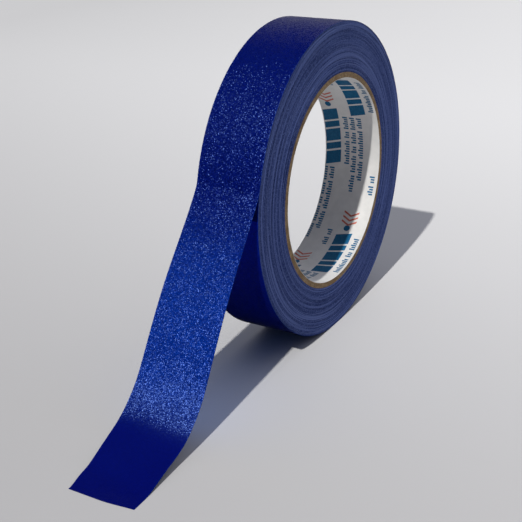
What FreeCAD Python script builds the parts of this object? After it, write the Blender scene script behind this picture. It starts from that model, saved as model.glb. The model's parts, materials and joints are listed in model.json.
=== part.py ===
"""A roll of masking tape standing on its edge, with the free end of the tape hanging off it.

Millimetres. The origin is the centre of the core's bore. +Y runs along the roll's axis, +Z is up,
and the free end (the tail) leaves the roll on the -X side and comes down to lie flat on the ground.
The tape is one thin strip: a paper backing on the outside and a film of adhesive on the inside.
Its tail is cut into straight stretches that hinge on each other, so that it can flex.
"""

import FreeCAD, Part
import os
import Sketcher

DIMENSIONS = {
    # the core: a paperboard tube with a 3 inch bore
    "bore_radius": 38.1,
    "liner_thickness": 0.12,
    "ply_thickness": 0.495,
    # the tape
    "tape_width": 24.0,
    "tape_length": 40000.0,
    "backing_thickness": 0.11,
    "adhesive_thickness": 0.03,
    # the outermost turn, which ends where the tail leaves the roll
    "running_gap": 0.02,
    "turn_opening": 3.0,
    "leaving_height": 15.0,
    # the tail: three equal stretches, a bend, a foot that reaches the ground and a flat end
    "span_length": 24.0,
    "span_lean": 36.0,
    "bend_length": 14.0,
    "bend_lean": 52.0,
    "foot_lean": 68.0,
    "end_length": 8.0,
    "end_lean": 90.0,
    "hinge_gap": 0.2,
}

PLIES = ("core_inner_ply", "core_second_ply", "core_third_ply", "core_outer_ply")

# each stretch of the tail, from the roll to the free end: its name, its length and its lean off the vertical
TAIL = (
    ("tail_root", "Dimensions.span_length", "Dimensions.span_lean"),
    ("tail_upper", "Dimensions.span_length", "Dimensions.span_lean"),
    ("tail_lower", "Dimensions.span_length", "Dimensions.span_lean"),
    ("tail_bend", "Dimensions.bend_length", "Dimensions.bend_lean"),
    ("tail_foot", "Derived.foot_length", "Dimensions.foot_lean"),
    ("tail_end", "Dimensions.end_length", "Dimensions.end_lean"),
)

# the two layers of the tape: each one's name, its thickness, and where its outer face is, from the mid-thickness
LAYERS = (
    ("backing", "Dimensions.backing_thickness", "-Derived.tape_thickness / 2"),
    ("adhesive", "Dimensions.adhesive_thickness", "Dimensions.backing_thickness - Derived.tape_thickness / 2"),
)

UP_THE_AXIS = FreeCAD.Vector(0, 1, 0)
START_ANGLE = 45
START_SIZE = 5


def make_dimensions(doc):
    """The driving dimensions, one named cell each."""
    sheet = doc.addObject("Spreadsheet::Sheet", "Dimensions")
    for row, (name, value) in enumerate(DIMENSIONS.items(), start=1):
        sheet.set(f"A{row}", name)
        sheet.set(f"B{row}", str(value))
        sheet.setAlias(f"B{row}", name)
    doc.recompute()


def derive(values, name, expression):
    """One size worked out from the driving dimensions."""
    values.addProperty("App::PropertyFloat", name, "Derived")
    values.setExpression(name, expression)


def make_derived(doc):
    """The sizes that follow from the driving ones, and the point where each stretch of the tail hinges."""
    values = doc.addObject("App::VarSet", "Derived")
    derive(values, "core_radius",
           f"Dimensions.bore_radius + Dimensions.liner_thickness + {len(PLIES)} * Dimensions.ply_thickness")
    derive(values, "tape_thickness", "Dimensions.backing_thickness + Dimensions.adhesive_thickness")
    # the side of the wound strip is a ring whose area is the strip's length times its thickness
    derive(values, "wound_radius",
           "sqrt(Derived.core_radius^2 + Dimensions.tape_length * Derived.tape_thickness / pi)")
    derive(values, "middle_radius", "Derived.wound_radius - Derived.tape_thickness / 2")
    derive(values, "tail_root_x", "-Derived.middle_radius * cos(Dimensions.leaving_height)")
    derive(values, "tail_root_z", "Derived.middle_radius * sin(Dimensions.leaving_height)")
    for (upper, length, lean), (lower, _, _) in zip(TAIL, TAIL[1:]):
        if upper == "tail_foot":
            derive(values, "foot_length", "(Derived.tail_foot_z + Derived.middle_radius) / cos(Dimensions.foot_lean)")
        derive(values, f"{lower}_x", f"Derived.{upper}_x - {length} * sin({lean})")
        derive(values, f"{lower}_z", f"Derived.{upper}_z - {length} * cos({lean})")
    doc.recompute()


def new_body(doc, name):
    body = doc.addObject("PartDesign::Body", name)
    body.Label = name
    return body


def new_sketch(body, role):
    """An empty sketch on one of the body's own origin planes."""
    plane = next(feature for feature in body.Origin.OriginFeatures if feature.Role == role)
    sketch = body.newObject("Sketcher::SketchObject", f"{body.Name}_outline")
    sketch.AttachmentSupport = (plane, [""])
    sketch.MapMode = "FlatFace"
    return sketch


def hold(sketch, name, expression, *constraint):
    """Adds a dimension to the sketch and binds it to an expression."""
    index = sketch.addConstraint(Sketcher.Constraint(*constraint))
    sketch.renameConstraint(index, name)
    sketch.setExpression(f"Constraints.{name}", expression)


def draw_rectangle(sketch):
    """A level rectangle. Line 0 is its bottom, drawn left to right, and the others follow anticlockwise."""
    corners = [FreeCAD.Vector(START_SIZE * x, START_SIZE * y, 0) for x, y in ((1, 0), (2, 0), (2, 1), (1, 1))]
    for start, end in zip(corners, corners[1:] + corners[:1]):
        sketch.addGeometry(Part.LineSegment(start, end), False)
    for line, direction in enumerate(("Horizontal", "Vertical", "Horizontal", "Vertical")):
        sketch.addConstraint(Sketcher.Constraint("Coincident", line, 2, (line + 1) % 4, 1))
        sketch.addConstraint(Sketcher.Constraint(direction, line))


def pad_across_the_tape(body, sketch):
    """Thickens a side-on outline to the width of the tape, half to each side."""
    pad = body.newObject("PartDesign::Pad", f"{body.Name}_pad")
    pad.Profile = sketch
    pad.SideType = "Symmetric"
    pad.setExpression("Length", "Dimensions.tape_width")


def make_ring(doc, name, inner, outer):
    """A closed ring round the roll's axis."""
    body = new_body(doc, name)
    sketch = new_sketch(body, "XZ_Plane")
    for size, (edge, radius) in enumerate((("inner", inner), ("outer", outer)), start=1):
        circle = Part.Circle(FreeCAD.Vector(), FreeCAD.Vector(0, 0, 1), START_SIZE * size)
        index = sketch.addGeometry(circle, False)
        sketch.addConstraint(Sketcher.Constraint("Coincident", index, 3, -1, 1))
        hold(sketch, f"{edge}_radius", radius, "Radius", index, START_SIZE * size)
    pad_across_the_tape(body, sketch)
    return body


def make_core(doc):
    """The printed paper liner, with the paperboard plies of the tube glued round it one over another."""
    liner = "Dimensions.bore_radius + Dimensions.liner_thickness"
    rings = [make_ring(doc, "core_liner", "Dimensions.bore_radius", liner)]
    for number, name in enumerate(PLIES):
        inner = f"{liner} + {number} * Dimensions.ply_thickness"
        rings.append(make_ring(doc, name, inner, f"{inner} + Dimensions.ply_thickness"))
    return rings


def make_wound_tape(doc):
    """Every turn of the strip under the outermost one, pressed into one solid ring."""
    return make_ring(doc, "wound_tape", "Derived.core_radius",
                     "Derived.wound_radius - Derived.tape_thickness - Dimensions.running_gap")


def make_outer_turn(doc, layer, thickness, outer_face):
    """One layer of the outermost turn: a ring left open beneath the place where the tail leaves it."""
    body = new_body(doc, f"outer_turn_{layer}")
    sketch = new_sketch(body, "XY_Plane")
    draw_rectangle(sketch)
    outside = f"Derived.middle_radius - ({outer_face})"
    hold(sketch, "outer_radius", outside, "DistanceX", -1, 1, 0, 2, 2 * START_SIZE)
    hold(sketch, "thickness", thickness, "DistanceX", 0, 1, 0, 2, START_SIZE)
    hold(sketch, "width", "Dimensions.tape_width", "DistanceY", 1, 1, 1, 2, START_SIZE)
    hold(sketch, "half_width", "Dimensions.tape_width / 2", "DistanceY", -1, 1, 1, 2, START_SIZE)
    turn = body.newObject("PartDesign::Revolution", f"{body.Name}_turn")
    turn.Profile = sketch
    turn.ReferenceAxis = (sketch, ["V_Axis"])
    degrees_per_mm = "180 / (pi * Derived.middle_radius)"
    turn.setExpression("Angle", f"360 - (Dimensions.turn_opening + Dimensions.hinge_gap / 2) * {degrees_per_mm}")
    body.Placement = FreeCAD.Placement(FreeCAD.Vector(), FreeCAD.Rotation(UP_THE_AXIS, START_ANGLE))
    body.setExpression(".Placement.Rotation.Angle",
                       f"180 + Dimensions.leaving_height + Dimensions.hinge_gap / 2 * {degrees_per_mm}")
    return body


def make_tail_layer(doc, stretch, length, lean, layer, thickness, outer_face):
    """One layer of one stretch of the tail: local X runs down the tail and local Z towards the roll."""
    body = new_body(doc, f"{stretch}_{layer}")
    sketch = new_sketch(body, "XZ_Plane")
    draw_rectangle(sketch)
    sketch.addConstraint(Sketcher.Constraint("PointOnObject", 0, 1, -1))
    hold(sketch, "from_hinge", "Dimensions.hinge_gap / 2", "DistanceX", -1, 1, 0, 1, START_SIZE)
    hold(sketch, "length", f"{length} - Dimensions.hinge_gap", "DistanceX", 0, 1, 0, 2, START_SIZE)
    hold(sketch, "thickness", thickness, "DistanceY", 1, 1, 1, 2, START_SIZE)
    pad_across_the_tape(body, sketch)
    body.Placement = FreeCAD.Placement(FreeCAD.Vector(), FreeCAD.Rotation(UP_THE_AXIS, START_ANGLE))
    body.setExpression(".Placement.Rotation.Angle", f"90 + {lean}")
    body.setExpression(".Placement.Base.x", f"Derived.{stretch}_x + ({outer_face}) * cos({lean})")
    body.setExpression(".Placement.Base.z", f"Derived.{stretch}_z - ({outer_face}) * sin({lean})")
    return body


def make_roll(doc):
    make_dimensions(doc)
    make_derived(doc)
    pieces = make_core(doc)
    pieces.append(make_wound_tape(doc))
    for layer in LAYERS:
        pieces.append(make_outer_turn(doc, *layer))
        pieces += [make_tail_layer(doc, *stretch, *layer) for stretch in TAIL]
    doc.recompute()
    return pieces


def check(doc, pieces):
    """Stops if any feature failed, or if any piece isn't one valid solid."""
    failed = [item.Label for item in doc.Objects if {"Invalid", "Error"} & set(item.State)]
    for piece in pieces:
        shape = piece.Shape
        if shape.isNull() or not shape.isValid() or len(shape.Solids) != 1:
            failed.append(piece.Label)
    if failed:
        raise RuntimeError(f"these failed: {failed}")


def write(pieces):
    os.makedirs("parts", exist_ok=True)
    for piece in pieces:
        piece.Shape.exportStep(f"parts/{piece.Label}.step")


document = FreeCAD.newDocument("MaskingTapeRoll")
roll_pieces = make_roll(document)
check(document, roll_pieces)
write(roll_pieces)
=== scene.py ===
"""A roll of blue masking tape standing on its edge: its looks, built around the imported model.

Metres, in the model's own frame: the origin is the centre of the bore, +Y is the roll's axis, +Z is up
and the tail of tape leaves the roll on the -X side. Places along the tape are given as a distance from
the line where it leaves the roll: negative round the outermost turn, positive down the tail. Its front
edge is the one towards -Y.
"""

import json
import math

import bmesh
import bpy
import numpy as np
from mathutils import Matrix, Vector, noise


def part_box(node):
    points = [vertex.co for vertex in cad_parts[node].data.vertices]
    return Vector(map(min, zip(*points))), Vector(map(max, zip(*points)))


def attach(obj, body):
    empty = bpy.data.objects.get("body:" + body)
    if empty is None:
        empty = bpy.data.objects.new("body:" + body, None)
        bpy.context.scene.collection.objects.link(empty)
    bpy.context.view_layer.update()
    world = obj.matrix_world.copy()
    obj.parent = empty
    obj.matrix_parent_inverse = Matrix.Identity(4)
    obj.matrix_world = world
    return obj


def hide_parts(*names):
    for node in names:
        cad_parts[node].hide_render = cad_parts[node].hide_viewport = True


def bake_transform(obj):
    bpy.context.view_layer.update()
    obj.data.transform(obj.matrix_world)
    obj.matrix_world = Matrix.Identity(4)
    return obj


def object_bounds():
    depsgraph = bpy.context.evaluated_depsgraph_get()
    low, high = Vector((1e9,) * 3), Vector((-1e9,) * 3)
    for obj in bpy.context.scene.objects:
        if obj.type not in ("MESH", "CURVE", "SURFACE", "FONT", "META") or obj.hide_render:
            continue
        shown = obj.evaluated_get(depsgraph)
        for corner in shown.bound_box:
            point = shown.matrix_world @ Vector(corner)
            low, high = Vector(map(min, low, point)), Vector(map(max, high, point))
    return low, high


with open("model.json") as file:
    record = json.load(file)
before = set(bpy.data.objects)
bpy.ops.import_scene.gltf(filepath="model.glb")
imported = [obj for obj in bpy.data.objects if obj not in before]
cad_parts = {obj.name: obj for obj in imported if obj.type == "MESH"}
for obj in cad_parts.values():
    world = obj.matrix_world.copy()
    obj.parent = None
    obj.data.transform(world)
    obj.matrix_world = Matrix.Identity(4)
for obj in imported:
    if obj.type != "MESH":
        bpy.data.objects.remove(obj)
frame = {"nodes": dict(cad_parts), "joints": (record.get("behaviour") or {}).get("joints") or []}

cad_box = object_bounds()

MM = 0.001
DEGREE = math.pi / 180


# ---------------------------------------------------------------- what the frame says

JOINTS = {joint["name"]: joint for joint in frame["joints"]}
TAIL_JOINTS = ("peel", "upper_flex", "lower_flex", "bend_flex", "foot_flex", "end_flex")


def radii(node):
    """The inner and outer radius of a ring-shaped CAD node."""
    reach = [math.hypot(vertex.co.x, vertex.co.z) for vertex in frame["nodes"][node].data.vertices]
    return min(reach), max(reach)


def tape_sizes():
    """The tape's half width, and how far its three faces stand off the middle of its thickness."""
    low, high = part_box("tail_end_backing")
    glue_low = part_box("tail_end_adhesive")[0]
    middle = (high.z + glue_low.z) / 2
    return (high.y - low.y) / 2, high.z - middle, low.z - middle, glue_low.z - middle


HALF_WIDTH, OUTER_FACE, GLUE_FACE, INNER_FACE = tape_sizes()
ROLL_RADIUS = radii("outer_turn_backing")[1]
MIDDLE_RADIUS = ROLL_RADIUS - OUTER_FACE
BORE_RADIUS, LINER_RADIUS = radii("core_liner")
FLOOR = cad_box[0].z


# ---------------------------------------------------------------- the line that the tape follows

TURN_OFF = 4.5 * MM          # the tape bends off the roll within this distance
TURN_OPENING = 3 * MM        # the outermost turn stops this far short of a whole turn
SAG = 3 * DEGREE             # the straight part of the tail is very slightly S-shaped
SAG_START, SAG_LENGTH = 5 * MM, 65 * MM
BENDS = {                    # each bend: how much nearer to the roll than its hinge it is, and its reach
    "bend_flex": (0 * MM, 8 * MM),
    "foot_flex": (3 * MM, 6 * MM),
    "end_flex": (0 * MM, 5 * MM),
}
TWIST = 1.1 * MM             # the back edge stands out by this much and the front edge stands in
FRONT_DIP = 1.1 * MM         # and the front edge dips in by this much more at the bend
DRIFT = 0.6 * MM             # the loose end lies a little to the front
CORNER_TUCK = 0.5 * MM       # and its back corner is pulled in
TORN = 1.2 * MM              # the end was torn off a little longer at the back
TWIST_GROWS = (5 * MM, 55 * MM)      # the distances between which the twist grows
DIP_GROWS = (50 * MM, 82 * MM)       # and the front edge's dip
TWIST_LEVELS, DIP_LEVELS = 80 * MM, 84 * MM    # from here to the last hinge the front edge loses each
DRIFTS_FROM = 85 * MM
BACK_LEVELS = 1 * MM         # the back edge comes level from this far past the last hinge
CORNER_TURNS = 2 * MM        # and its corner turns in from this far past it
TORN_SIDE = (-1.2, 0)        # the tear grows from just off the front edge to the middle
LINE_STEP = 0.1 * MM


def smooth(value, start, end):
    """0 up to start, 1 from end on, and eased in between."""
    share = np.clip((value - start) / (end - start), 0, 1)
    return share * share * (3 - 2 * share)


def tail_corners():
    """The hinges down the tail and the tip of the loose end, as (x, z)."""
    corners = [(JOINTS[name]["pos_m"][0], JOINTS[name]["pos_m"][2]) for name in TAIL_JOINTS]
    corners.append((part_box("tail_end_backing")[0].x, corners[-1][1]))
    return np.array(corners)


CORNERS = tail_corners()
STRETCHES = np.hypot(*np.diff(CORNERS, axis=0).T)
LEANS = np.arctan2(-np.diff(CORNERS[:, 0]), -np.diff(CORNERS[:, 1]))    # off the vertical
HINGE_AT = dict(zip(TAIL_JOINTS, np.cumsum(STRETCHES) - STRETCHES))
TAIL_LENGTH = STRETCHES.sum()
PEEL_ANGLE = math.atan2(CORNERS[0, 1], CORNERS[0, 0])
RING_LENGTH = 2 * math.pi * MIDDLE_RADIUS - TURN_OPENING


def lean_at(distance):
    """How far the tail leans off the vertical, at each distance down it."""
    start = math.pi - PEEL_ANGLE
    lean = start + (LEANS[0] - start) * smooth(distance, 0, TURN_OFF)
    for name, before, after in zip(TAIL_JOINTS[1:], LEANS, LEANS[1:]):
        early, reach = BENDS.get(name, (0, TURN_OFF))
        middle = HINGE_AT[name] - early
        lean = lean + (after - before) * smooth(distance, middle - reach, middle + reach)
    along = np.clip((distance - SAG_START) / SAG_LENGTH, 0, 1)
    return lean + SAG * np.sin(2 * math.pi * along)


def tail_line():
    """The middle of the tail as distances and (x, z), drawn from the roll and eased to the CAD tip."""
    distance = np.arange(0, TAIL_LENGTH + LINE_STEP, LINE_STEP)
    lean = lean_at(distance[:-1] + LINE_STEP / 2)
    steps = np.stack([-np.sin(lean), -np.cos(lean)], axis=1) * LINE_STEP
    points = CORNERS[0] + np.vstack([[0, 0], np.cumsum(steps, axis=0)])
    tip = np.array([np.interp(TAIL_LENGTH, distance, points[:, axis]) for axis in (0, 1)])
    ease = smooth(distance, 0, HINGE_AT["end_flex"])
    return distance, points + ease[:, None] * (CORNERS[-1] - tip)


LINE_DISTANCE, LINE_POINTS = tail_line()


def strip_points(distance, across, lift):
    """Points of the tape. across runs from -1 at the front edge to 1 at the back.

    lift is how far they stand out from the middle of the tape's thickness."""
    angle = PEEL_ANGLE + np.minimum(distance, 0) / MIDDLE_RADIUS
    free = distance > 0
    lean = np.where(free, lean_at(distance), math.pi - angle)
    x = np.where(free, np.interp(distance, LINE_DISTANCE, LINE_POINTS[:, 0]), MIDDLE_RADIUS * np.cos(angle))
    z = np.where(free, np.interp(distance, LINE_DISTANCE, LINE_POINTS[:, 1]), MIDDLE_RADIUS * np.sin(angle))
    end = HINGE_AT["end_flex"]
    rise = TWIST * smooth(distance, *TWIST_GROWS)
    front = rise * smooth(distance, end, TWIST_LEVELS)
    front = front + FRONT_DIP * smooth(distance, *DIP_GROWS) * smooth(distance, end, DIP_LEVELS)
    back = rise * smooth(distance, TAIL_LENGTH, end + BACK_LEVELS)
    lift = lift + across * (front + (back - front) * smooth(across, -1, 1))
    y = HALF_WIDTH * across - DRIFT * smooth(distance, DRIFTS_FROM, TAIL_LENGTH)
    y = y - CORNER_TUCK * smooth(distance, end + CORNER_TURNS, TAIL_LENGTH) * np.clip(across, 0, 1)
    x = x - TORN * smooth(distance, end, TAIL_LENGTH) * smooth(across, *TORN_SIDE)
    return np.stack([x - lift * np.cos(lean), y, z + lift * np.sin(lean)], axis=-1)


# ---------------------------------------------------------------- mesh making

SMOOTH_UNDER = 50 * DEGREE    # edges sharper than this stay sharp


def make_piece(name, points, faces, material, uvs=None):
    """One closed mesh, its faces turned outwards, and its UV map in metres if it has one."""
    mesh = bpy.data.meshes.new(name)
    mesh.from_pydata(np.asarray(points).tolist(), [], np.asarray(faces).tolist())
    if uvs is not None:
        corners = np.zeros(len(mesh.loops), np.int32)
        mesh.loops.foreach_get("vertex_index", corners)
        layer = mesh.uv_layers.new(name="strip")
        layer.data.foreach_set("uv", np.asarray(uvs)[corners].astype(np.float32).ravel())
    turned = bmesh.new()
    turned.from_mesh(mesh)
    bmesh.ops.recalc_face_normals(turned, faces=turned.faces)
    turned.to_mesh(mesh)
    turned.free()
    mesh.shade_smooth()
    mesh.set_sharp_from_angle(angle=SMOOTH_UNDER)
    mesh.materials.append(material)
    piece = bpy.data.objects.new(name, mesh)
    bpy.context.scene.collection.objects.link(piece)
    return piece


def slab_faces(rows, columns):
    """The quads of a closed slab: two grids of points, one after the other, joined round the edges."""
    top = np.arange(rows * columns).reshape(rows, columns)
    quads = np.stack([top[:-1, :-1], top[:-1, 1:], top[1:, 1:], top[1:, :-1]], axis=-1).reshape(-1, 4)
    border = np.concatenate([top[0, :-1], top[:-1, -1], top[-1, :0:-1], top[:0:-1, 0]])
    after = np.roll(border, -1)
    under = rows * columns
    sides = np.stack([border, border + under, after + under, after], axis=-1)
    return np.vstack([quads, quads[:, ::-1] + under, sides])


def ring_faces(turns, loop):
    """The quads of a closed ring: a closed outline of so many points, repeated round the axis."""
    index = np.arange(turns * loop).reshape(turns, loop)
    on = np.roll(index, -1, axis=0)
    quads = np.stack([index, np.roll(index, -1, axis=1), np.roll(on, -1, axis=1), on], axis=-1)
    return quads.reshape(-1, 4)


def make_ring(name, radius, along, material):
    """A ring about the roll's axis. radius and along, the place on the axis, are [angle, outline point]."""
    angle = np.linspace(0, 2 * math.pi, radius.shape[0], endpoint=False)[:, None]
    points = np.stack([radius * np.cos(angle), along + 0 * radius, radius * np.sin(angle)], axis=-1)
    return make_piece(name, points.reshape(-1, 3), ring_faces(*radius.shape), material)


def noise_over(*arrays):
    """Smooth noise from -1 to 1 at each element of the arrays, which are its coordinates."""
    arrays = np.broadcast_arrays(*arrays)
    places = zip(*(array.ravel().tolist() for array in arrays))
    return np.array([noise.noise(place) for place in places]).reshape(arrays[0].shape)


# ---------------------------------------------------------------- material making

def new_material(name):
    """A new material, its node tree and its one surface shader."""
    material = bpy.data.materials.new(name)
    material.use_nodes = True
    return material, material.node_tree, material.node_tree.nodes["Principled BSDF"]


def add(tree, kind, inputs=None, **settings):
    """A new shader node. Each input gets a plain value, or a link if it is another node's output."""
    node = tree.nodes.new(kind)
    for name, value in settings.items():
        setattr(node, name, value)
    for name, value in (inputs or {}).items():
        connect(tree, node.inputs[name], value)
    return node


def connect(tree, socket, value):
    """Links the socket to value if it is a node's output, and sets it to value if it isn't."""
    if isinstance(value, bpy.types.NodeSocket):
        tree.links.new(value, socket)
    else:
        socket.default_value = value


def calculate(tree, operation, *values):
    """The result of one step of arithmetic."""
    node = add(tree, "ShaderNodeMath", operation=operation)
    for socket, value in zip(node.inputs, values):
        connect(tree, socket, value)
    return node.outputs[0]


def noise_of(tree, place, scale, stretch=(1, 1, 1), detail=2.0, roughness=0.5):
    """Noise whose grains are about 1 / scale millimetres, or longer along an axis with a small stretch."""
    scales = [1000 * scale * part for part in stretch]
    mapping = add(tree, "ShaderNodeMapping", {"Vector": place, "Scale": scales})
    texture = add(tree, "ShaderNodeTexNoise", {"Vector": mapping.outputs[0], "Scale": 1.0,
                                               "Detail": detail, "Roughness": roughness})
    return texture.outputs["Fac"]


def ranged(tree, value, low, high, to_low=0.0, to_high=1.0, eased=False):
    """value, with low to high stretched to to_low to to_high, and held at those beyond them."""
    node = add(tree, "ShaderNodeMapRange", {"Value": value, "From Min": low, "From Max": high,
                                            "To Min": to_low, "To Max": to_high},
               interpolation_type="SMOOTHSTEP" if eased else "LINEAR")
    return node.outputs["Result"]


def mixed(tree, share, first, second):
    """A colour between two colours."""
    node = add(tree, "ShaderNodeMix", data_type="RGBA")
    connect(tree, node.inputs["Factor"], share)
    for socket, colour in zip([s for s in node.inputs if s.type == "RGBA"], (first, second)):
        connect(tree, socket, colour if isinstance(colour, bpy.types.NodeSocket) else (*colour, 1.0))
    return next(s for s in node.outputs if s.type == "RGBA")


def scaled(tree, vector, factor):
    """A vector or colour times a number."""
    node = add(tree, "ShaderNodeVectorMath", {0: vector, "Scale": factor}, operation="SCALE")
    return node.outputs[0]


def bumped(tree, height, depth, under=None):
    """A surface normal from a height of 0 to 1, where 1 stands depth metres proud."""
    node = add(tree, "ShaderNodeBump", {"Height": height, "Distance": depth, "Strength": 1.0})
    if under is not None:
        tree.links.new(under, node.inputs["Normal"])
    return node.outputs["Normal"]


# ---------------------------------------------------------------- the crepe-paper tape

CREPE_HEIGHT = 0.028 * MM
UNDERSIDE_SHARE = 0.8        # how much of the creping's height shows through to the sticky side
HELD_UNTIL = 4 * MM          # that side is smoother up to here, where the roll still holds it
TAPE_CELL = 0.45 * MM        # the size of the meshes' quads: in the paper layer,
TAIL_CELL = 0.6 * MM         # in the sticky layer down the tail,
GLUE_CELL = 1.2 * MM         # and in the sticky layer round the roll

TAPE_ON_ROLL = (0.0003, 0.0052, 0.116)
# the free tail's blue, brightened by a painted sheen
TAPE_FREE_SHEEN = (0.0002, 0.0240, 0.248)
TAPE_FLAT = (0.0001, 0.0020, 0.119)
# a deeper blue, for random cloudiness and for painted shade in the creping's hollows
TAPE_CLOUD_AND_SHADE = (0.0001, 0.0016, 0.086)
FLECK_SIZE = 0.21 * MM
FLECK_TILT = 0.66            # how far the flecks' faces turn away from the sheet, at random: on the roll,
FREE_TILT = 0.46             # where one layer hangs free,
FLAT_TILT = 0.12             # and where it is pressed flat
FAR_TILT = 0.2               # the share of FLECK_TILT that is left round the roll's far side
BEND_LEAN = 0.29             # how far they lean to the front at the bend
FLECK_TINT = (0.19, 0.35, 1.0, 1.0)
FLECK_CONTRAST = 0.8         # from the darkest flecks to the lightest, as a share of the paper's own tone
FLAT_CONTRAST = 0.1          # and the same where the tape is pressed flat
PAPER_ROUGHNESS = 0.295
EDGE_GLINT_WIDTH, EDGE_GLINT_SHARE = 0.35 * MM, 0.35    # how near the cut edges the painted highlight lies, and how strong it is
GLUE_BLUE = (0.010, 0.045, 0.20)
GLUE_PALE = (0.035, 0.10, 0.32)

# the distances between which the tape changes
PEELS = (2 * MM, 42 * MM)            # from the look it has on the roll to that of one free layer: flecks that turn less, and a painted blue sheen
DEEPENS = (64 * MM, 84 * MM)         # where that painted sheen fades back to a deep blue
FLATTENS = (76.5 * MM, 86.5 * MM)    # to flecks that are pressed flat
FLATTENS_ASLANT = -0.12              # a little later at the back edge than at the front
BEND_LEANS = (56 * MM, 74 * MM)      # to flecks that lean to the front
SMOOTHS = (-115 * MM, -78 * MM)      # and, on the roll, out of the smoother look of its far side


def crepe(distance, across):
    """The height of the paper's creping: short ridges across the tape, broken up and uneven."""
    along = distance / MM
    side = across * HALF_WIDTH / MM
    ridges = noise_over(along * 1.25, side * 0.62, 0.0)
    grains = noise_over(along * 2.4 + 31.0, side * 1.7, 7.0)
    return CREPE_HEIGHT * (ridges + 0.5 * grains)


def fleck_normal(tree, flecks, normal, tilt, forwards):
    """A surface normal that turns by tilt, at random, from one small fleck of the paper to the next.

    The flecks lean to the front of the roll by the share forwards."""
    sideways = calculate(tree, "ADD", forwards, 0.5)
    middle = add(tree, "ShaderNodeCombineXYZ", {"X": 0.5, "Y": sideways, "Z": 0.5})
    centred = add(tree, "ShaderNodeVectorMath", {0: flecks, 1: middle.outputs[0]}, operation="SUBTRACT")
    lean = scaled(tree, centred.outputs[0], tilt)
    turned = add(tree, "ShaderNodeVectorMath", {0: normal, 1: lean}, operation="ADD")
    return add(tree, "ShaderNodeVectorMath", {0: turned.outputs[0]}, operation="NORMALIZE").outputs[0]


def tape_colour(tree, place, ridges, peeled, ruffled):
    """Deep blue and a little cloudy, with a painted blue sheen where one layer hangs free, a painted
    highlight at its cut edges and painted shade in the hollows of its creping.
    """
    split = add(tree, "ShaderNodeSeparateXYZ", {"Vector": place})
    # painted sheen: brighter where one layer hangs free, fading out again towards the foot
    paler = ranged(tree, split.outputs["X"], *DEEPENS, 1.0, 0.0, eased=True)
    free = calculate(tree, "MULTIPLY", peeled, paler)
    colour = mixed(tree, free, mixed(tree, ruffled, TAPE_FLAT, TAPE_ON_ROLL), TAPE_FREE_SHEEN)
    # painted shade: darker where the creping's ridges are low
    colour = mixed(tree, ranged(tree, ridges, 0.62, 0.36, 0.0, 0.5), colour, TAPE_CLOUD_AND_SHADE)
    clouds = noise_of(tree, place, 0.09, detail=2.0)
    colour = mixed(tree, ranged(tree, clouds, 0.35, 0.7, 0.0, 0.2), colour, TAPE_CLOUD_AND_SHADE)
    # painted highlight along the cut edges, in the free tail's sheen blue
    off_middle = calculate(tree, "ABSOLUTE", split.outputs["Y"])
    edge_glint = ranged(tree, off_middle, HALF_WIDTH - EDGE_GLINT_WIDTH, HALF_WIDTH, 0.0, EDGE_GLINT_SHARE)
    return mixed(tree, edge_glint, colour, TAPE_FREE_SHEEN)


def fleck_shade(tree, flecks, ruffled):
    """How bright each fleck is, at random about 1, with less contrast where the tape is pressed flat."""
    chance = add(tree, "ShaderNodeSeparateXYZ", {"Vector": flecks}).outputs["Z"]
    contrast = ranged(tree, ruffled, 0.0, 1.0, FLAT_CONTRAST, FLECK_CONTRAST)
    return calculate(tree, "MULTIPLY_ADD", calculate(tree, "SUBTRACT", chance, 0.5), contrast, 1.0)


def fleck_tilt(tree, distance, peeled, ruffled):
    """How far the flecks turn: most on the roll, and least where the tape is pressed flat."""
    loose = ranged(tree, peeled, 0.0, 1.0, FLECK_TILT, FREE_TILT)
    loose = calculate(tree, "MULTIPLY", loose, ranged(tree, distance, *SMOOTHS, FAR_TILT, 1.0, eased=True))
    return calculate(tree, "MAXIMUM", calculate(tree, "MULTIPLY", loose, ruffled), FLAT_TILT)


def tape_material():
    """Blue crepe paper with flecks that glint."""
    material, tree, surface = new_material("tape_paper")
    place = add(tree, "ShaderNodeUVMap", uv_map="strip").outputs["UV"]
    split = add(tree, "ShaderNodeSeparateXYZ", {"Vector": place})
    distance, side = split.outputs["X"], split.outputs["Y"]
    ridges = noise_of(tree, place, 1.25, stretch=(1.0, 0.6, 1), detail=3.0, roughness=0.62)
    grains = noise_of(tree, place, 2.3, stretch=(1.0, 0.8, 1), detail=1.0)
    peeled = ranged(tree, distance, *PEELS, eased=True)
    slanting = calculate(tree, "MULTIPLY_ADD", side, FLATTENS_ASLANT, distance)
    ruffled = ranged(tree, slanting, *FLATTENS, 1.0, 0.0, eased=True)
    cells = add(tree, "ShaderNodeTexVoronoi", {"Vector": place, "Scale": 1 / FLECK_SIZE},
                voronoi_dimensions="2D")
    flecks = cells.outputs["Color"]
    colour = tape_colour(tree, place, ridges, peeled, ruffled)
    colour = scaled(tree, colour, fleck_shade(tree, flecks, ruffled))
    connect(tree, surface.inputs["Base Color"], colour)
    surface.inputs["Roughness"].default_value = PAPER_ROUGHNESS
    surface.inputs["Specular IOR Level"].default_value = 0.5
    surface.inputs["Specular Tint"].default_value = FLECK_TINT
    surface.inputs["Sheen Weight"].default_value = 0.05
    surface.inputs["Sheen Roughness"].default_value = 0.2
    relief = bumped(tree, grains, 0.03 * MM, bumped(tree, ridges, 0.06 * MM))
    tilt = fleck_tilt(tree, distance, peeled, ruffled)
    forwards = ranged(tree, distance, *BEND_LEANS, 0.0, BEND_LEAN, eased=True)
    connect(tree, surface.inputs["Normal"], fleck_normal(tree, flecks, relief, tilt, forwards))
    return material


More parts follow.
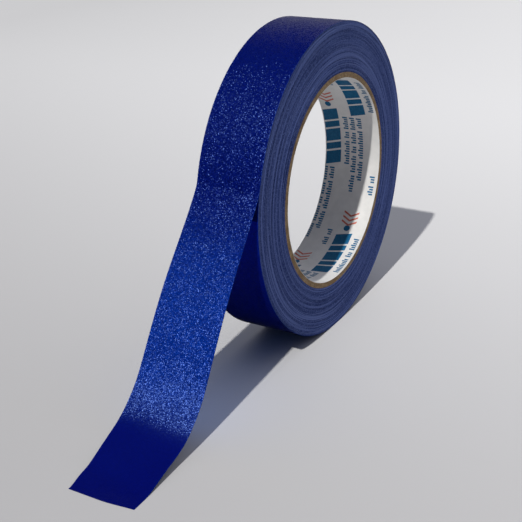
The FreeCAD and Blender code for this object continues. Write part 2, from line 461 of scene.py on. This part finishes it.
def glue_material():
    """The sticky side: a thin smooth film over the blue paper, a little paler and faintly rippled."""
    material, tree, surface = new_material("tape_glue")
    place = add(tree, "ShaderNodeUVMap", uv_map="strip").outputs["UV"]
    ripples = noise_of(tree, place, 0.5, stretch=(1.0, 0.35, 1), detail=3.0)
    grains = noise_of(tree, place, 2.0, detail=2.0)
    colour = mixed(tree, ranged(tree, ripples, 0.3, 0.7), GLUE_BLUE, GLUE_PALE)
    connect(tree, surface.inputs["Base Color"], colour)
    connect(tree, surface.inputs["Roughness"], ranged(tree, ripples, 0.3, 0.7, 0.32, 0.5))
    relief = bumped(tree, ripples, 0.05 * MM)
    connect(tree, surface.inputs["Normal"], bumped(tree, grains, 0.01 * MM, relief))
    return material


def strip_piece(name, start, end, top, bottom, cell, material):
    """A closed slab of one layer of the tape between two distances. top and bottom give its faces' lifts."""
    rows = max(2, round((end - start) / cell)) + 1
    columns = max(2, round(2 * HALF_WIDTH / cell)) + 1
    along, sideways = np.linspace(start, end, rows), np.linspace(-1, 1, columns)
    distance, across = np.meshgrid(along, sideways, indexing="ij")
    relief = crepe(distance, across)
    faces = [strip_points(distance, across, face(distance, relief)) for face in (top, bottom)]
    points = np.concatenate([face.reshape(-1, 3) for face in faces])
    uvs = np.stack([distance, across * HALF_WIDTH], axis=-1).reshape(-1, 2)
    return make_piece(name, points, slab_faces(rows, columns), material, np.vstack([uvs, uvs]))


def outer_face(distance, relief):
    return OUTER_FACE + relief


def held_relief(distance, relief):
    """The creping shows on the underside only where the tape hangs free of the roll and the table."""
    free = smooth(distance, 0, HELD_UNTIL) * smooth(distance, TAIL_LENGTH, HINGE_AT["foot_flex"])
    return relief * UNDERSIDE_SHARE * free


def middle_face(distance, relief):
    return GLUE_FACE + held_relief(distance, relief)


def inner_face(distance, relief):
    return INNER_FACE + held_relief(distance, relief)


RING_SEAM = -2 * MM          # the outer turn's pieces end here, and the tail's begin


def tape_spans():
    """For each tail joint, where its piece of tape starts and ends: halfway along the stretches."""
    middles = [HINGE_AT[name] + stretch / 2 for name, stretch in zip(TAIL_JOINTS, STRETCHES)]
    starts = [RING_SEAM] + middles[:-1]
    ends = middles[:-1] + [TAIL_LENGTH]
    return dict(zip(TAIL_JOINTS, zip(starts, ends)))


def line_point(distance):
    """A point on the middle of the tape."""
    return strip_points(np.array([distance]), np.array([0.0]), np.array([0.0]))[0]


def bend_at(piece):
    """Bakes the piece's placement into its mesh."""
    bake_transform(piece)


def build_tape():
    paper, glue = tape_material(), glue_material()
    layers = (("backing", paper, outer_face, middle_face, "tape_backing", TAPE_CELL),
              ("adhesive", glue, middle_face, inner_face, "adhesive", GLUE_CELL))
    for layer, material, top, bottom, slot, cell in layers:
        ring_name = f"outer_turn_{layer}_strip"
        ring = strip_piece(ring_name, -RING_LENGTH, RING_SEAM, top, bottom, cell, material)
        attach(ring, "outer_turn")
        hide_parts(f"outer_turn_{layer}")
        for name, (start, end) in tape_spans().items():
            child = JOINTS[name]["child"]
            fine = min(cell, TAIL_CELL)
            piece = strip_piece(f"{child}_{layer}_strip", start, end, top, bottom, fine, material)
            bend_at(piece)
            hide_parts(f"{child}_{layer}")


# ---------------------------------------------------------------- the wound turns

TURN_PITCH = OUTER_FACE - INNER_FACE
PACK_STEPS = 288             # steps round the axis
GROOVE_DEPTH = 0.03 * MM
# in millimetres: how far large groups of turns, small groups and single turns are off centre
WIDE_DRIFT, NARROW_DRIFT, TURN_DRIFT = 0.12, 0.08, 0.03

EDGE_BLUE = (0.048, 0.076, 0.232)
EDGE_PALE = (0.098, 0.140, 0.350)
EDGE_DARK = (0.010, 0.024, 0.118)
RING_EVENNESS = 0.012        # how fast a ring's tone changes round it, beside how fast it does outwards


def turn_shifts(turns, steps):
    """How far each turn sits off centre along the axis, at steps round it. Whole groups drift too."""
    turn = np.arange(turns)[None, :]
    angle = np.linspace(0, 2 * math.pi, steps, endpoint=False)[:, None]
    wide = noise_over(turn / 17, 0.7 * np.cos(angle), 0.7 * np.sin(angle))
    narrow = noise_over(turn / 4.3 + 40, 1.3 * np.cos(angle), 1.3 * np.sin(angle))
    single = np.random.default_rng(7).uniform(-1, 1, turns)[None, :]
    return MM * (WIDE_DRIFT * wide + NARROW_DRIFT * narrow + TURN_DRIFT * single)


def wound_material():
    """The cut edges of the turns: muted blue with a violet cast, fibrous, in fine rings of uneven tone."""
    material, tree, surface = new_material("wound_paper")
    place = add(tree, "ShaderNodeTexCoord").outputs["Object"]
    split = add(tree, "ShaderNodeSeparateXYZ", {"Vector": place})
    x, z = split.outputs["X"], split.outputs["Z"]
    radius = calculate(tree, "SQRT", calculate(tree, "ADD", calculate(tree, "MULTIPLY", x, x),
                                               calculate(tree, "MULTIPLY", z, z)))
    slow_x, slow_z = (calculate(tree, "MULTIPLY", value, RING_EVENNESS) for value in (x, z))
    around = add(tree, "ShaderNodeCombineXYZ", {"X": radius, "Y": slow_x, "Z": slow_z}).outputs[0]
    fine = noise_of(tree, around, 2.4, detail=1.0)
    bands = noise_of(tree, around, 1.25, detail=1.0)
    broad = noise_of(tree, around, 0.40, detail=2.0)
    fibres = noise_of(tree, place, 2.2, detail=2.0, roughness=0.6)
    colour = mixed(tree, ranged(tree, broad, 0.3, 0.7), EDGE_BLUE, EDGE_PALE)
    colour = mixed(tree, ranged(tree, bands, 0.50, 0.36, 0.0, 0.8), colour, EDGE_DARK)
    colour = mixed(tree, ranged(tree, fine, 0.56, 0.38, 0.0, 0.9), colour, EDGE_DARK)
    colour = mixed(tree, ranged(tree, fibres, 0.45, 0.65, 0.0, 0.6), colour, EDGE_PALE)
    connect(tree, surface.inputs["Base Color"], colour)
    surface.inputs["Roughness"].default_value = 0.7
    surface.inputs["Specular IOR Level"].default_value = 0.1
    relief = bumped(tree, fine, 0.06 * MM)
    connect(tree, surface.inputs["Normal"], bumped(tree, fibres, 0.08 * MM, relief))
    return material


def build_wound_turns():
    inner, outer = radii("wound_tape")
    turns = round((outer - inner) / TURN_PITCH)
    shifts = turn_shifts(turns, PACK_STEPS)
    between = (shifts[:, 1:] + shifts[:, :-1]) / 2
    grooves = np.concatenate([shifts[:, :1], between, shifts[:, -1:]], axis=1)
    radius = np.linspace(inner, outer, 2 * turns + 1) + np.zeros((PACK_STEPS, 1))
    faces = []
    for side in (-1, 1):
        along = np.empty_like(radius)
        along[:, 1::2] = side * HALF_WIDTH + shifts
        along[:, 0::2] = side * (HALF_WIDTH - GROOVE_DEPTH) + grooves
        faces.append(along)
    radius = np.concatenate([radius, radius[:, ::-1]], axis=1)
    along = np.concatenate([faces[0], faces[1][:, ::-1]], axis=1)
    pack = make_ring("wound_tape_turns", radius, along, wound_material())
    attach(pack, "roll")
    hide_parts("wound_tape")


# ---------------------------------------------------------------- the core

PLIES = ("core_inner_ply", "core_second_ply", "core_third_ply", "core_outer_ply")
CORE_STEPS = 360             # steps round the axis
CORE_BEVEL = 0.07 * MM
BOARD_UNEVENNESS, LINER_UNEVENNESS = 0.05 * MM, 0.02 * MM

KRAFT = (0.230, 0.150, 0.078)
KRAFT_DARK = (0.120, 0.078, 0.042)
KRAFT_PALE = (0.330, 0.235, 0.135)
PAPER_WHITE = (0.71, 0.70, 0.685)
PAPER_GREY = (0.64, 0.635, 0.625)


def board_material():
    """Kraft paperboard: brown, flecked with darker and paler fibres."""
    material, tree, surface = new_material("kraft_board")
    place = add(tree, "ShaderNodeTexCoord").outputs["Object"]
    patches = noise_of(tree, place, 0.25, detail=2.0)
    fibres = noise_of(tree, place, 1.8, detail=3.0, roughness=0.6)
    colour = mixed(tree, ranged(tree, patches, 0.35, 0.65), KRAFT, KRAFT_PALE)
    colour = mixed(tree, ranged(tree, fibres, 0.55, 0.3, 0.0, 0.8), colour, KRAFT_DARK)
    connect(tree, surface.inputs["Base Color"], colour)
    surface.inputs["Roughness"].default_value = 0.85
    surface.inputs["Specular IOR Level"].default_value = 0.2
    connect(tree, surface.inputs["Normal"], bumped(tree, fibres, 0.12 * MM))
    return material


def liner_material():
    """Thin white paper with a faint cloudiness and a very fine tooth."""
    material, tree, surface = new_material("liner_paper")
    place = add(tree, "ShaderNodeTexCoord").outputs["Object"]
    clouds = noise_of(tree, place, 0.3, detail=3.0)
    tooth = noise_of(tree, place, 3.0, detail=2.0)
    colour = mixed(tree, ranged(tree, clouds, 0.3, 0.7), PAPER_WHITE, PAPER_GREY)
    connect(tree, surface.inputs["Base Color"], colour)
    connect(tree, surface.inputs["Roughness"], ranged(tree, clouds, 0.3, 0.7, 0.5, 0.62))
    surface.inputs["Specular IOR Level"].default_value = 0.3
    connect(tree, surface.inputs["Normal"], bumped(tree, tooth, 0.02 * MM))
    return material


def rounded_ring(name, inner, outer, bevel, unevenness, material):
    """A ring the width of the tape with bevelled rims, its cut ends slightly uneven round the ring."""
    ends = HALF_WIDTH - bevel
    front = [(inner, -ends), (inner + bevel, -HALF_WIDTH), (outer - bevel, -HALF_WIDTH), (outer, -ends)]
    back = [(outer, ends), (outer - bevel, HALF_WIDTH), (inner + bevel, HALF_WIDTH), (inner, ends)]
    outline = np.array(front + back)
    angle = np.linspace(0, 2 * math.pi, CORE_STEPS, endpoint=False)[:, None]
    wobble = noise_over(9 * np.cos(angle), 9 * np.sin(angle), outline[:, 0][None, :] / MM)
    radius = outline[:, 0][None, :] + np.zeros((CORE_STEPS, 1))
    along = outline[:, 1][None, :] + unevenness * wobble
    return make_ring(name, radius, along, material)


def build_core():
    board = board_material()
    for ply in PLIES:
        ring = rounded_ring(f"{ply}_board", *radii(ply), CORE_BEVEL, BOARD_UNEVENNESS, board)
        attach(ring, "roll")
        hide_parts(ply)
    thin_bevel = (LINER_RADIUS - BORE_RADIUS) / 4
    liner = rounded_ring("core_liner_sheet", BORE_RADIUS, LINER_RADIUS, thin_bevel, LINER_UNEVENNESS,
                         liner_material())
    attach(liner, "roll")
    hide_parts("core_liner")


# ---------------------------------------------------------------- the print on the liner
# Plain marks only, no letters. Each is a list of columns (along, low, high) in millimetres: along runs
# round the bore from +Z towards +X, and low and high are across the liner.

INK_PROUD = 0.02 * MM
INK_SUNK = 0.01 * MM
PRINT_REPEATS, PRINT_PITCH = 3, 114    # degrees between repeats: the seam takes up the rest of the turn
PRINT_ROWS = ((28, 8.3), (62, -4.0), (99, -16.3))    # each row's first angle in degrees, and its middle
BLOCK_HEIGHT = 6.6
BAR_SLANT = 1.6
BAR_WIDTHS = (6.0, 3.5, 6.0, 3.5, 6.0)
BAR_GAP = 0.8
TICK_PITCH, TICK_WIDTH, TICK_HEIGHTS = 1.0, 0.64, (2.2, 1.6, 1.6, 2.2, 1.6)
LINE_START, LINE_PITCH = 27.0, 3.0
LINE_WORDS = ((5, 12, 8), (6, 5, 3, 7, 7), (6, 3, 10))    # how many ticks are in each word of each line
SHORT_WORDS, SHORT_RISE = (3, 4), 6.4
LINE_DROP = 0.8                           # the lines' lower edges lie this far below their places
EMBLEM_START, CHEVRONS, CHEVRON_PITCH = -9.6, 3, 2.0
CHEVRON_WIDTH, CHEVRON_SLANT = 0.8, 1.7
DOT_ALONG, DOT_RADIUS = 7.6, 1.3
PRINT_MARGIN = 0.3                        # the print keeps this far from the liner's edges
CUT_AWAY = -0.01                          # a mark with less than this left inside them is left out
THINNEST = 0.02                           # a pointed end of a mark is at least this wide

TEAL = (0.001, 0.105, 0.240)
TEAL_WORN = (0.010, 0.150, 0.310)
ORANGE = (0.520, 0.105, 0.065)
ORANGE_WORN = (0.600, 0.240, 0.170)


def slanted_bar(start, width, low, high, slant):
    """A bar that leans along the print by slant from its low end to its high end."""
    rise = (high - low) / slant
    columns = []
    for along in sorted((start, start + slant, start + width, start + width + slant)):
        first = low + (along - start) * rise
        last = low + (along - start - width) * rise
        columns.append((along, max(low, min(first, last)), min(high, max(first, last))))
    return columns


def disc(centre, middle, radius, count=12):
    """A round dot."""
    columns = []
    for step in range(count + 1):
        turn = math.pi * step / count
        half = radius * math.sin(turn)
        columns.append((centre - radius * math.cos(turn), middle - half, middle + half))
    return columns


def upright(centre, low, high):
    """A short upright tick."""
    return [(centre - TICK_WIDTH / 2, low, high), (centre + TICK_WIDTH / 2, low, high)]


def block_marks(middle):
    """The bold block: slanted bars, broad and narrow by turns."""
    marks, start = [], 0
    low, high = middle - BLOCK_HEIGHT / 2, middle + BLOCK_HEIGHT / 2
    for width in BAR_WIDTHS:
        marks.append(slanted_bar(start, width - BAR_GAP, low, high, BAR_SLANT))
        start += width
    return marks


def word_marks(start, words, low):
    """A line of ticks in groups."""
    marks, place, count = [], start, 0
    for length in words:
        for _ in range(length):
            marks.append(upright(place, low, low + TICK_HEIGHTS[count % len(TICK_HEIGHTS)]))
            place += TICK_PITCH
            count += 1
        place += TICK_PITCH
    return marks


def chevron_marks(middle):
    """Open chevrons, each a slanted bar and its mirror image."""
    marks = []
    for number in range(CHEVRONS):
        start = EMBLEM_START + number * CHEVRON_PITCH
        bar = slanted_bar(start, CHEVRON_WIDTH, middle - BLOCK_HEIGHT / 2, middle, CHEVRON_SLANT)
        marks.append(bar)
        marks.append([(along, 2 * middle - high, 2 * middle - low) for along, low, high in bar])
    return marks


def motif_marks(middle):
    """One repeat of the print: its teal marks and its orange ones."""
    teal = block_marks(middle)
    teal.append(disc(EMBLEM_START + DOT_ALONG, middle, DOT_RADIUS))
    for number, words in enumerate(LINE_WORDS):
        teal += word_marks(LINE_START, words, middle - LINE_DROP + number * LINE_PITCH)
    teal += word_marks(0, SHORT_WORDS, middle + SHORT_RISE - LINE_DROP)
    return teal, chevron_marks(middle)


def plate_points(first_angle, columns):
    """The corners of a thin plate in the bore: four for each column of a mark."""
    points = []
    shallow, deep = BORE_RADIUS - INK_PROUD, BORE_RADIUS + INK_SUNK
    for along, low, high in columns:
        angle = first_angle * DEGREE - along * MM / BORE_RADIUS
        half = max(high - low, THINNEST) / 2
        centre = (low + high) / 2
        for across, radius in ((-half, shallow), (half, shallow), (half, deep), (-half, deep)):
            y = (centre + across) * MM
            points.append((radius * math.cos(angle), y, radius * math.sin(angle)))
    return points


def plate_faces(start, columns):
    """The faces that close a plate of so many columns, whose points begin at start."""
    faces = []
    for corner in range(start, start + 4 * (columns - 1), 4):
        for side in range(4):
            after = (side + 1) % 4
            faces.append((corner + side, corner + after, corner + 4 + after, corner + 4 + side))
    end = start + 4 * columns
    faces.append(tuple(range(start, start + 4)))
    faces.append(tuple(range(end - 1, end - 5, -1)))
    return faces


def ink_piece(name, marks, material):
    """All the marks of one colour: thin closed plates that follow the bore."""
    points, faces = [], []
    limit = HALF_WIDTH / MM - PRINT_MARGIN
    for first_angle, columns in marks:
        kept = [(along, max(low, -limit), min(high, limit)) for along, low, high in columns]
        if min(high - low for _, low, high in kept) < CUT_AWAY:
            continue
        faces += plate_faces(len(points), len(kept))
        points += plate_points(first_angle, kept)
    piece = make_piece(name, points, faces, material)
    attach(piece, "roll")


def ink_material(name, solid, worn):
    """Printing ink, thinner in places so that the paper shows through."""
    material, tree, surface = new_material(name)
    place = add(tree, "ShaderNodeTexCoord").outputs["Object"]
    thin = noise_of(tree, place, 1.4, detail=3.0)
    colour = mixed(tree, ranged(tree, thin, 0.45, 0.75), solid, worn)
    connect(tree, surface.inputs["Base Color"], colour)
    surface.inputs["Roughness"].default_value = 0.5
    surface.inputs["Specular IOR Level"].default_value = 0.3
    return material


def build_print():
    teal, orange = [], []
    for first_angle, middle in PRINT_ROWS:
        for repeat in range(PRINT_REPEATS):
            angle = first_angle - repeat * PRINT_PITCH
            teal_marks, orange_marks = motif_marks(middle)
            teal += [(angle, columns) for columns in teal_marks]
            orange += [(angle, columns) for columns in orange_marks]
    ink_piece("liner_ink_teal", teal, ink_material("teal_ink", TEAL, TEAL_WORN))
    ink_piece("liner_ink_orange", orange, ink_material("orange_ink", ORANGE, ORANGE_WORN))


# ---------------------------------------------------------------- the floor, the light and the camera

FLOOR_SIZE = 6.0
# the two ends of a painted pool of light on the floor
FLOOR_DIM = (0.425, 0.420, 0.425)
FLOOR_BRIGHT = (0.775, 0.775, 0.78)
FLOOR_BRIGHTENS = (-0.30, 0.38)     # a painted pool of light: the floor turns from dim to bright between these places along X
FLOOR_FADE = 0.4                    # and a painted fall-off dims it this fast towards the back, per metre,
FLOOR_FADES = (-0.15, 0.6)          # between these places along Y
SUN_FROM = (-0.664, -0.079, 0.743)
SUN_STRENGTH = 3.05
SUN_COLOUR = (1.0, 0.985, 0.945)
SUN_WIDTH = 1.2 * DEGREE
SKY_BRIGHT_TOWARDS = (0.71, -0.16, 0.685)
SKY_DIM = (0.034, 0.038, 0.058)
SKY_BRIGHT = (0.74, 0.755, 0.84)
SKY_RISES = (0.2, 0.98)             # the cosines of the angle off that, where it starts and ends to brighten
MIRRORED_TOWARDS = (0.86, 0.46, 0.20)    # glossy surfaces mirror only a spot low behind the roll,
MIRRORED = 0.34                          # this bright,
MIRROR_RISES = (0.93, 0.995)             # with these cosines at its rim and where it is full
BACKDROP = (0.70, 0.70, 0.71)            # what the camera sees beyond the floor

GLOW_COLOUR = (0.09, 0.30, 1.0)
GLOW_SHARE = 0.70                   # the strength of its blue, as a share of the key light's
GLOW_FROM, GLOW_TO = 10 * MM, 72 * MM
GLOW_BEHIND = 4 * MM                # how far behind the tape it lies

CAMERA_AZIMUTH, CAMERA_ELEVATION, CAMERA_ROLL = -59.22 * DEGREE, 23.41 * DEGREE, -1.68 * DEGREE
CAMERA_DISTANCE = 356.65 * MM
CAMERA_LENS = 69.31
AIM_FROM_CENTRE = Vector((0.74 * MM, 0, -19.99 * MM))


def build_floor():
    mesh = bpy.data.meshes.new("floor")
    half = FLOOR_SIZE / 2
    corners = [(-half, -half, FLOOR), (half, -half, FLOOR), (half, half, FLOOR), (-half, half, FLOOR)]
    mesh.from_pydata(corners, [], [(0, 1, 2, 3)])
    material, tree, surface = new_material("pale_floor")
    place = add(tree, "ShaderNodeTexCoord").outputs["Object"]
    split = add(tree, "ShaderNodeSeparateXYZ", {"Vector": place})
    # painted light: a pool of light towards +X that falls off towards the back
    painted_light_pool = ranged(tree, split.outputs["X"], *FLOOR_BRIGHTENS, eased=True)
    front, back = FLOOR_FADES
    painted_fall_off = ranged(tree, split.outputs["Y"], front, back, 1 - front * FLOOR_FADE, 1 - back * FLOOR_FADE)
    colour = scaled(tree, mixed(tree, painted_light_pool, FLOOR_DIM, FLOOR_BRIGHT), painted_fall_off)
    connect(tree, surface.inputs["Base Color"], colour)
    surface.inputs["Roughness"].default_value = 0.8
    surface.inputs["Specular IOR Level"].default_value = 0.1
    mesh.materials.append(material)
    floor = bpy.data.objects.new("floor", mesh)
    bpy.context.scene.collection.objects.link(floor)
    floor.visible_glossy = False


def cosine(tree, looking, towards):
    """The cosine of the angle between where a ray looks and a direction."""
    node = add(tree, "ShaderNodeVectorMath", {0: looking, 1: towards}, operation="DOT_PRODUCT")
    return node.outputs["Value"]


def build_key_light():
    """One key light, from the tail's side."""
    lamp = bpy.data.lights.new("key", "SUN")
    lamp.energy = SUN_STRENGTH
    lamp.color = SUN_COLOUR
    lamp.angle = SUN_WIDTH
    key = bpy.data.objects.new("key", lamp)
    key.rotation_mode = "QUATERNION"
    key.rotation_quaternion = Vector(SUN_FROM).to_track_quat("Z", "Y")
    bpy.context.scene.collection.objects.link(key)


def build_surround():
    """A soft surround, brightest high on the side away from the tail."""
    world = bpy.data.worlds.new("surround")
    world.use_nodes = True
    tree = world.node_tree
    looking = add(tree, "ShaderNodeTexCoord").outputs["Generated"]
    bright = ranged(tree, cosine(tree, looking, SKY_BRIGHT_TOWARDS), *SKY_RISES)
    colour = mixed(tree, bright, SKY_DIM, SKY_BRIGHT)
    spot = ranged(tree, cosine(tree, looking, MIRRORED_TOWARDS), *MIRROR_RISES, 0.0, MIRRORED)
    ray = add(tree, "ShaderNodeLightPath").outputs
    mirrored = add(tree, "ShaderNodeCombineXYZ", {"X": spot, "Y": spot, "Z": spot}).outputs[0]
    colour = mixed(tree, ray["Is Glossy Ray"], colour, mirrored)
    colour = mixed(tree, ray["Is Camera Ray"], colour, BACKDROP)
    connect(tree, tree.nodes["Background"].inputs["Color"], colour)
    bpy.context.scene.world = world


def build_glow():
    """A lamp behind the free tape, for the key light that comes through its one layer, blue."""
    top, bottom = line_point(GLOW_FROM), line_point(GLOW_TO)
    along = Vector(bottom - top)
    across = Vector((0, 1, 0))
    down = along.normalized()
    outwards = across.cross(down)
    lamp = bpy.data.lights.new("glow", "AREA")
    lamp.shape = "RECTANGLE"
    lamp.size = 2 * HALF_WIDTH
    lamp.size_y = along.length
    lamp.color = GLOW_COLOUR
    lamp.energy = GLOW_SHARE * SUN_STRENGTH * lamp.size * lamp.size_y
    glow = bpy.data.objects.new("glow", lamp)
    middle = Vector((top + bottom) / 2) - outwards * GLOW_BEHIND
    glow.matrix_world = Matrix.Translation(middle) @ Matrix((across, down, outwards)).transposed().to_4x4()
    glow.visible_camera = False
    glow.visible_glossy = False
    bpy.context.scene.collection.objects.link(glow)
    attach(glow, "tail_upper")


def build_camera():
    """The camera, aimed at a point set off from the middle of the CAD box."""
    azimuth, elevation, roll = CAMERA_AZIMUTH, CAMERA_ELEVATION, CAMERA_ROLL
    back = Vector((math.sin(azimuth) * math.cos(elevation), -math.cos(azimuth) * math.cos(elevation),
                   math.sin(elevation)))
    right = Vector((math.cos(azimuth), math.sin(azimuth), 0))
    up = back.cross(right)
    turn, rise = math.cos(roll), math.sin(roll)
    right, up = turn * right + rise * up, turn * up - rise * right
    lens = bpy.data.cameras.new("camera")
    lens.lens = CAMERA_LENS
    lens.sensor_width = 36
    camera = bpy.data.objects.new("camera", lens)
    aim = (cad_box[0] + cad_box[1]) / 2 + AIM_FROM_CENTRE
    place = aim + back * CAMERA_DISTANCE
    camera.matrix_world = Matrix.Translation(place) @ Matrix((right, up, back)).transposed().to_4x4()
    bpy.context.scene.collection.objects.link(camera)
    bpy.context.scene.camera = camera


bpy.context.scene.view_settings.view_transform = "Standard"
build_tape()
build_wound_turns()
build_core()
build_print()
build_floor()
build_key_light()
build_surround()
build_glow()
build_camera()
